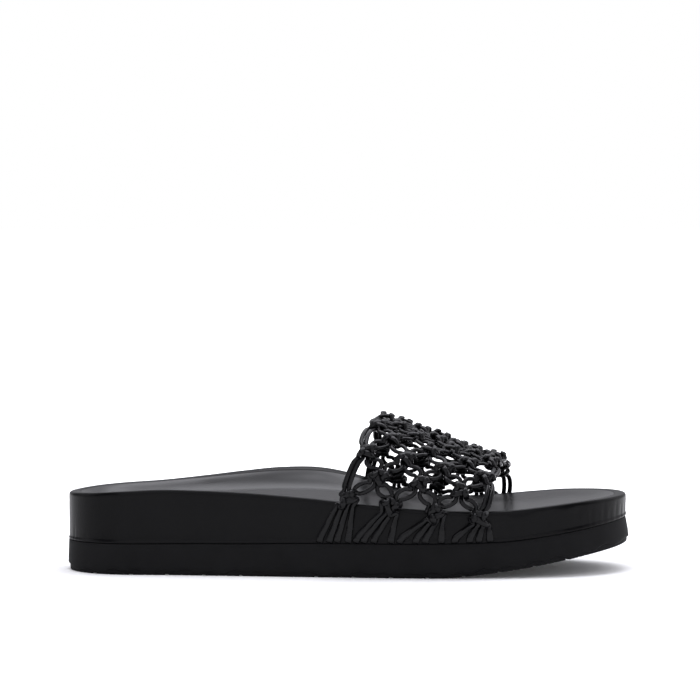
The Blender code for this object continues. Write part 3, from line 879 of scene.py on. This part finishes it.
def netDirections(column, row):
    step = 0.04
    low, high = max(row - step, -1), min(row + step, net["rows"] + 1)
    alongRow = netPlace(column + step, row) - netPlace(column - step, row)
    alongCord = netPlace(column, high) - netPlace(column, low)
    outward = alongRow.cross(alongCord).normalized()
    here = netPlace(column, row)
    if outward.dot(here - inFrame(netX(column, row), 0, 0)) < 0:
        outward.negate()
    lengths = alongRow.length / (2 * step), alongCord.length / (high - low)
    return here, alongRow.normalized(), outward, *lengths


def nearKnot(column, row, across, along):  # (column, row) of a place beside a knot
    *_, columnLength, rowLength = netDirections(column, row)
    return column + across / columnLength, row + along / rowLength


# A square knot tied round two straight cords, in millimetres: across, along,
# lift over the net, and which way the lace's flat faces, in degrees from outwards
leadingCord = (
    (-3.3, -3.2, 0.0, 0),
    (-3.25, -2.6, 0.7, -25),
    (-2.0, -2.1, 1.7, -12),
    (0.0, -1.5, 2.0, 0),
    (1.9, -1.0, 1.6, 20),
    (2.9, -0.5, 0.45, 70),
    (3.1, 0.0, 0.0, 90),
    (2.9, 0.6, 0.45, 70),
    (1.9, 1.1, 1.6, 20),
    (0.0, 1.5, 2.0, 0),
    (-2.0, 1.8, 1.7, -12),
    (-3.25, 2.4, 0.7, -25),
    (-3.3, 3.2, 0.0, 0),
)
followingCord = (
    (3.3, -3.2, 0.0, 0),
    (3.2, -2.6, 1.2, 5),
    (2.3, -1.7, 2.8, 5),
    (2.2, -0.4, 2.5, 25),
    (2.7, 0.2, 0.2, 90),
    (0.0, -0.1, -1.6, 180),
    (-2.7, -0.4, -0.2, 270),
    (-2.2, 0.3, 2.4, 335),
    (-2.2, 1.6, 2.8, 355),
    (-2.7, 2.6, 1.4, 330),
    (-2.6, 2.7, -0.4, 250),
    (0.0, 1.8, -1.6, 180),
    (2.3, 1.6, -1.0, 130),
    (3.1, 2.3, -0.1, 60),
    (3.3, 3.2, 0.0, 0),
)
coreCord = ((1.1, -3.2, 0, 0), (0.95, -1.6, 0, 0), (0.9, 0, 0, 0), (0.95, 1.6, 0, 0), (1.1, 3.2, 0, 0))


def knotStops(column, row, port, tie):
    mirror = tie["mirror"]
    if port in (1, 2):
        table, flip = coreCord, 2 * port - 3
    else:
        leads = (port == 0) == (mirror > 0)
        table, flip = (leadingCord if leads else followingCord), mirror
    slant = math.radians(tie["slant"])
    stops = []
    for number, (across, along, lift, turn) in enumerate(table):
        across, turn = flip * across, flip * turn
        if 0 < number < len(table) - 1:
            across, along = (
                across * math.cos(slant) - along * math.sin(slant),
                across * math.sin(slant) + along * math.cos(slant),
            )
        at = nearKnot(column, row, (across + tie["across"]) * mm, (along + tie["along"]) * mm)
        here, alongRow, outward, *_ = netDirections(*at)
        facing = math.cos(math.radians(turn)) * outward + math.sin(math.radians(turn)) * alongRow
        spread = easeBetween(abs(lift) / net["wrapLift"])
        width = net["cordWidth"] + (net["wrapWidth"] - net["cordWidth"]) * spread
        thick = net["cordThickness"] + (net["wrapThickness"] - net["cordThickness"]) * spread
        stops.append((here + lift * tie["size"] * mm * outward, facing, width, thick))
    return stops


def linkStops(start, end, leave, arrive, bulge, lift, width):
    (c0, r0), (c3, r3) = start, end
    *_, columnLength, rowLength = netDirections((c0 + c3) / 2, (r0 + r3) / 2)
    first, last = (c0, r0 + leave / rowLength), (c3, r3 - arrive / rowLength)
    run = Vector(((c3 - c0) * columnLength, (r3 - r0) * rowLength)).normalized()
    stops = []
    for t in (0.22, 0.41, 0.59, 0.78):
        weights = (1 - t) ** 3, 3 * (1 - t) ** 2 * t, 3 * (1 - t) * t * t, t**3
        column = sum(w * c for w, c in zip(weights, (c0, first[0], last[0], c3)))
        row = sum(w * r for w, r in zip(weights, (r0, first[1], last[1], r3)))
        bow = math.sin(math.pi * t)
        column += bulge * bow * run.y / columnLength
        row -= bulge * bow * run.x / rowLength
        here, _, outward, *_ = netDirections(column, row)
        stops.append((here + lift * bow * outward, outward, width, net["cordThickness"]))
    return stops


def fringeStops(start, tuck, side):
    # from the outer knots down the midsole's side, where the lace turns flat, and into the joint
    c0, r0 = start
    rowEnd = -1 if side < 0 else net["rows"] + 1
    top = netPlace(c0, r0)
    jointX = netX(tuck, rowEnd)
    rollTop = jointHeight(jointX) + net["rollHeight"]
    stops = []
    for t in (0.15, 0.35, 0.55, 0.75, 0.92):
        x = top.x + sole["heelCentre"] + (jointX - top.x - sole["heelCentre"]) * t
        flat = easeBetween(t * net["tuckFlat"])
        startOut = abs(top.y - soleAxis(x)) - abs(besideMidsole(x, side, 0) - soleAxis(x))
        endOut = net["tuckThickness"] / 2 + net["tuckGap"]
        standoff = startOut + (endOut - startOut) * easeBetween(t * net["tuckClose"])
        here = inFrame(x, besideMidsole(x, side, standoff), top.z + (rollTop - top.z) * t)
        *_, outward, _, _ = netDirections(tuck, rowEnd - 0.5 * math.copysign(1, rowEnd))
        width = net["cordWidth"] + (net["tuckWidth"] - net["cordWidth"]) * flat
        thick = net["cordThickness"] + (net["tuckThickness"] - net["cordThickness"]) * flat
        stops.append((here, outward, width, thick))
    outward, width, thick = stops[-1][1:]
    # out from the wall and up from the joint, and share of the thickness
    for standoff, lift, share in ((0.62, 1.3, 1), (0.1, 0.6, 0.6), (-1.6, 0.35, 0.6)):
        here = inFrame(jointX, besideMidsole(jointX, side, standoff * mm), jointHeight(jointX) + lift * mm)
        stops.append((here, outward, width, thick * share))
    return stops


def cordStops(number, ties, luck):
    spacing, reach = net["cordSpacing"], net["knotLength"] / 2
    ports = (-1.5, -0.5, 0.5, 1.5)
    short = net["linkStart"] * net["knotLength"]
    perKnot = net["cordsPerKnot"]
    tuck = tuckColumns[number // perKnot][number % perKnot]
    stops, leaving, lastKnot = [], None, None
    for row in range(net["rows"] + 1):
        odd = row % 2  # odd rows sit half a column on
        place = number - perKnot // 2 * odd
        if not 0 <= place < net["cords"] - perKnot * odd:
            continue
        column, port = place // perKnot + odd / 2, place % perKnot
        tie = ties[row, column]
        across = ports[port] * spacing + tie["across"] * mm
        entering = nearKnot(column, row, across, tie["along"] * mm - reach)
        if leaving is None:
            stops += fringeStops(entering, tuck, -1)[::-1]
        elif row - lastKnot[1] == 2:
            bow = -net["edgeBulge"]
            if column > 0:  # the pair spreads where it comes down on the far side
                spread = net["edgeSpread"] if row > net["spreadAfter"] else 0
                bow = net["edgeBulge"] + (spread if port == 3 else -spread)
            stops += linkStops(leaving, entering, short, short, bow, 0, net["edgeWidth"])
        else:
            bulge = net["eyeBulge"] * (-1 if lastKnot[2] in (0, 2) else 1)
            bow = bulge * luck.uniform(*net["bulgeRange"])
            lift = net["linkLift"] * luck.uniform(*net["liftRange"])
            stops += linkStops(leaving, entering, short, short, bow, lift, net["cordWidth"])
        stops += knotStops(column, row, port, tie)
        leaving = nearKnot(column, row, across, tie["along"] * mm + reach)
        lastKnot = (column, row, port)
    stops += fringeStops(leaving, tuck, 1)
    return stops


def blendBetween(a, b, start, end, t):
    return a * ((end - t) / (end - start)) + b * ((t - start) / (end - start))


def smoothPath(stops, step):
    # a centripetal curve through the stops, with facing, width and thickness blended along it
    points = [stop[0] for stop in stops]
    facings = [stops[0][1]]
    for stop in stops[1:]:
        facings.append(stop[1] if stop[1].dot(facings[-1]) >= 0 else -stop[1])
    points = [2 * points[0] - points[1]] + points + [2 * points[-1] - points[-2]]
    path = []
    for i in range(len(stops) - 1):
        p = points[i:i + 4]
        times = [0]
        for a, b in zip(p, p[1:]):
            times.append(times[-1] + max((b - a).length, 1e-5) ** 0.5)
        count = max(1, round((p[2] - p[1]).length / step))
        for k in range(count):
            share = k / count
            t = times[1] + (times[2] - times[1]) * share
            once = [blendBetween(p[j], p[j + 1], times[j], times[j + 1], t) for j in range(3)]
            twice = [blendBetween(once[j], once[j + 1], times[j], times[j + 2], t) for j in range(2)]
            place = blendBetween(twice[0], twice[1], times[1], times[2], t)
            sizes = [stops[i][n] + (stops[i + 1][n] - stops[i][n]) * share for n in (2, 3)]
            path.append((place, facings[i].lerp(facings[i + 1], share), *sizes))
    path.append((points[-2], facings[-1], *stops[-1][2:]))
    return path


def sweepCord(name, path):
    sides = net["sides"]
    places = [stop[0] for stop in path]
    verts, faces, lengths, reach = [], [], [], 0
    total = len(path)
    for i, (place, facing, width, thick) in enumerate(path):
        ahead, behind = places[min(i + 1, total - 1)], places[max(i - 1, 0)]
        tangent = (ahead - behind).normalized()
        across = tangent.cross(facing).normalized()
        facing = across.cross(tangent).normalized()
        if i:
            reach += (place - places[i - 1]).length
        lengths.append(reach)
        for k in range(sides):
            angle = 2 * math.pi * k / sides
            verts.append(place + math.cos(angle) * width / 2 * across + math.sin(angle) * thick / 2 * facing)
    for i in range(total - 1):
        for k in range(sides):
            a, b = i * sides + k, i * sides + (k + 1) % sides
            faces.append((a, b, b + sides, a + sides))
    faces.append(tuple(range(sides))[::-1])
    faces.append(tuple((total - 1) * sides + k for k in range(sides)))
    data = bpy.data.meshes.new(name)
    data.from_pydata(verts, [], faces)
    layer = data.uv_layers.new(name="alongCord")
    girth = math.pi * (net["cordWidth"] + net["cordThickness"]) / 2
    for face in data.polygons:
        for corner in face.loop_indices:
            ring, k = divmod(data.loops[corner].vertex_index, sides)
            closing = face.index < (total - 1) * sides and face.index % sides == sides - 1
            around = 1.0 if closing and k == 0 else k / sides
            layer.data[corner].uv = (around * girth, lengths[ring])
    piece = bpy.data.objects.new(name, data)
    scene.collection.objects.link(piece)
    activate(piece)
    bpy.ops.object.mode_set(mode="EDIT")
    faceOutwards()
    bpy.ops.object.shade_smooth()
    return piece


def makeNet():
    luck = random.Random(net["seed"])
    ties = {}
    for row in range(net["rows"] + 1):
        for k in range(net["columns"] + 1 - row % 2):
            ties[row, k + (row % 2) / 2] = {
                "across": luck.uniform(*net["tieAcross"]),
                "along": luck.uniform(*net["tieAlong"]),
                "slant": luck.uniform(*net["tieSlant"]),
                "size": luck.uniform(*net["tieSize"]),
                "mirror": luck.choice((-1, 1)),
            }
    for column, slant in enumerate(net["firstRowSlants"]):
        ties[0, column]["slant"] = slant
    cords = []
    for number in range(net["cords"]):
        path = smoothPath(cordStops(number, ties, luck), net["step"])
        cords.append(sweepCord("netCord_%02d" % (number + 1), path))
    return cords


# Materials

wrapLookPaintedShade = {  # drum-dyed nappa, plated smooth: near black, satin, with a fine closed grain; its very low shine is painted shade that keeps the midsole's side dark
    "colours": ("#060607", "#09090a"),
    "roughness": 0.35,
    # painted shade: a shine far under the leather's own
    "shine": 0.045,
    "coat": 0.1,
    "coatRoughness": 0.22,
    "grainSize": 0.9 * mm,
    "grainDepth": 0.03 * mm,
    "waveDepth": 0.2 * mm,
}
bedLookPaintedLight = {  # the footbed's leather, a little lighter and shinier than the wrap: painted light on the footbed's top
    # painted light: a little lighter than the wrap's colours
    "colours": ("#0a0a0b", "#0e0e0f"),
    "roughness": 0.38,
    "shine": 0.22,
    "coat": 0.16,
    "coatRoughness": 0.22,
    "grainSize": 0.8 * mm,
    "grainDepth": 0.02 * mm,
    "waveDepth": 0.15 * mm,
}
hideLook = {  # what both leathers share
    "poreSize": 0.35 * mm,
    "poreShare": 1 / 3,  # of the grain's depth
    "cloudSize": 22 * mm,
    "glossUnder": 0.05,
    "glossOver": 0.07,
}
laceLook = {  # cut kid-leather lace: soft gloss on the rounded face, small creases across it
    "colours": ("#040405", "#08080a"),
    "roughness": (0.18, 0.32),
    "shine": 0.13,
    "coat": 0.1,
    "coatRoughness": 0.14,
    "cloudSize": 4 * mm,
    "creaseAcross": 2.5 * mm,
    "creaseAlong": 0.5 * mm,
    "creaseDepth": 0.06 * mm,
}
rubberLook = {  # foamed rubber, moulded against a blasted steel tool: matte with a fine grit
    "colours": ("#0d0d0e", "#111112"),
    "roughness": 0.7,
    "shine": 0.11,
    "cloudSize": 14 * mm,
    "gritSize": 0.5 * mm,
    "gritRoughness": 0.6,
    "gritDepth": 0.05 * mm,
    "gritStrength": 0.8,
}


def addNoise(tree, places, size, detail, roughness=0.5):
    settings = {"Scale": 1 / size, "Detail": detail, "Roughness": roughness}
    return addNode(tree, "ShaderNodeTexNoise", settings, {"Vector": places}).outputs["Fac"]


def addBump(tree, height, depth, under=None, strength=1.0):
    bump = addNode(tree, "ShaderNodeBump", {"Strength": strength, "Distance": depth}, {"Height": height})
    if under:
        tree.links.new(under, bump.inputs["Normal"])
    return bump.outputs["Normal"]


def tintBetween(tree, shader, clouds, colours):
    tint = addNode(tree, "ShaderNodeValToRGB", None, {"Fac": clouds})
    rampColours(tint, ((0.3, colours[0]), (0.7, colours[1])))
    tree.links.new(tint.outputs["Color"], shader.inputs["Base Color"])


def glossBetween(tree, shader, spread, low, high):
    gloss = addNode(tree, "ShaderNodeMapRange", {"To Min": low, "To Max": high}, {"Value": spread})
    tree.links.new(gloss.outputs["Result"], shader.inputs["Roughness"])


def coatLeather(shader, look):
    shader.inputs["Specular IOR Level"].default_value = look["shine"]
    shader.inputs["Coat Weight"].default_value = look["coat"]
    shader.inputs["Coat Roughness"].default_value = look["coatRoughness"]


def paintLeather(name, look):
    made, tree, shader = newMaterial(name)
    places = addNode(tree, "ShaderNodeTexCoord").outputs["Object"]
    closed = {"feature": "SMOOTH_F1", "Scale": 1 / look["grainSize"]}
    cells = addNode(tree, "ShaderNodeTexVoronoi", closed, {"Vector": places}).outputs["Distance"]
    pores = addNoise(tree, places, hideLook["poreSize"], 2)
    clouds = addNoise(tree, places, hideLook["cloudSize"], 3)
    tintBetween(tree, shader, clouds, look["colours"])
    low, high = look["roughness"] - hideLook["glossUnder"], look["roughness"] + hideLook["glossOver"]
    glossBetween(tree, shader, pores, low, high)
    soft = addBump(tree, clouds, look["waveDepth"])
    grain = addBump(tree, cells, look["grainDepth"], soft)
    fine = addBump(tree, pores, look["grainDepth"] * hideLook["poreShare"], grain)
    tree.links.new(fine, shader.inputs["Normal"])
    coatLeather(shader, look)
    return made


def paintCordLeather():
    made, tree, shader = newMaterial("kidLeatherLace")
    strip = addNode(tree, "ShaderNodeUVMap", {"uv_map": "alongCord"}).outputs["UV"]
    places = addNode(tree, "ShaderNodeTexCoord").outputs["Object"]
    across, along = laceLook["creaseAcross"], laceLook["creaseAlong"]
    stretched = addNode(tree, "ShaderNodeMapping", {"Scale": (1 / across, 1 / along, 1)}, {"Vector": strip})
    creases = addNoise(tree, stretched.outputs["Vector"], 1, 3)
    clouds = addNoise(tree, places, laceLook["cloudSize"], 2)
    tintBetween(tree, shader, clouds, laceLook["colours"])
    glossBetween(tree, shader, clouds, *laceLook["roughness"])
    tree.links.new(addBump(tree, creases, laceLook["creaseDepth"]), shader.inputs["Normal"])
    coatLeather(shader, laceLook)
    return made


def paintRubber():
    made, tree, shader = newMaterial("mouldedFoamRubber")
    places = addNode(tree, "ShaderNodeTexCoord").outputs["Object"]
    grit = addNoise(tree, places, rubberLook["gritSize"], 3, rubberLook["gritRoughness"])
    clouds = addNoise(tree, places, rubberLook["cloudSize"], 2)
    tintBetween(tree, shader, clouds, rubberLook["colours"])
    bump = addBump(tree, grit, rubberLook["gritDepth"], None, rubberLook["gritStrength"])
    tree.links.new(bump, shader.inputs["Normal"])
    shader.inputs["Roughness"].default_value = rubberLook["roughness"]
    shader.inputs["Specular IOR Level"].default_value = rubberLook["shine"]
    return made


def finishPiece(piece, material, node):
    piece.data.materials.clear()
    piece.data.materials.append(material)
    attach(piece, "root")
    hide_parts(node)


outsolePiece = makeOutsole()
print("outsole is grown and its tread is cut")
midsolePiece = makeMidsole()
insolePiece = makeInsole()
print("midsole and insole are grown")
netCords = makeNet()
print("net is tied from", len(netCords), "cords")

# the same leather twice: a darker, duller copy with painted shade on the midsole, and a lighter, shinier
# copy with painted light on the footbed
wrapLeatherShaded = paintLeather("platedNappaPaintedShade", wrapLookPaintedShade)
bedLeatherLit = paintLeather("liningLeatherPaintedLight", bedLookPaintedLight)
laceLeather = paintCordLeather()
rubber = paintRubber()

finishPiece(outsolePiece, rubber, "outsole")
finishPiece(midsolePiece, wrapLeatherShaded, "midsole")
finishPiece(insolePiece, bedLeatherLit, "insole")
for cord in netCords:
    finishPiece(cord, laceLeather, "upper")
print("materials are on")
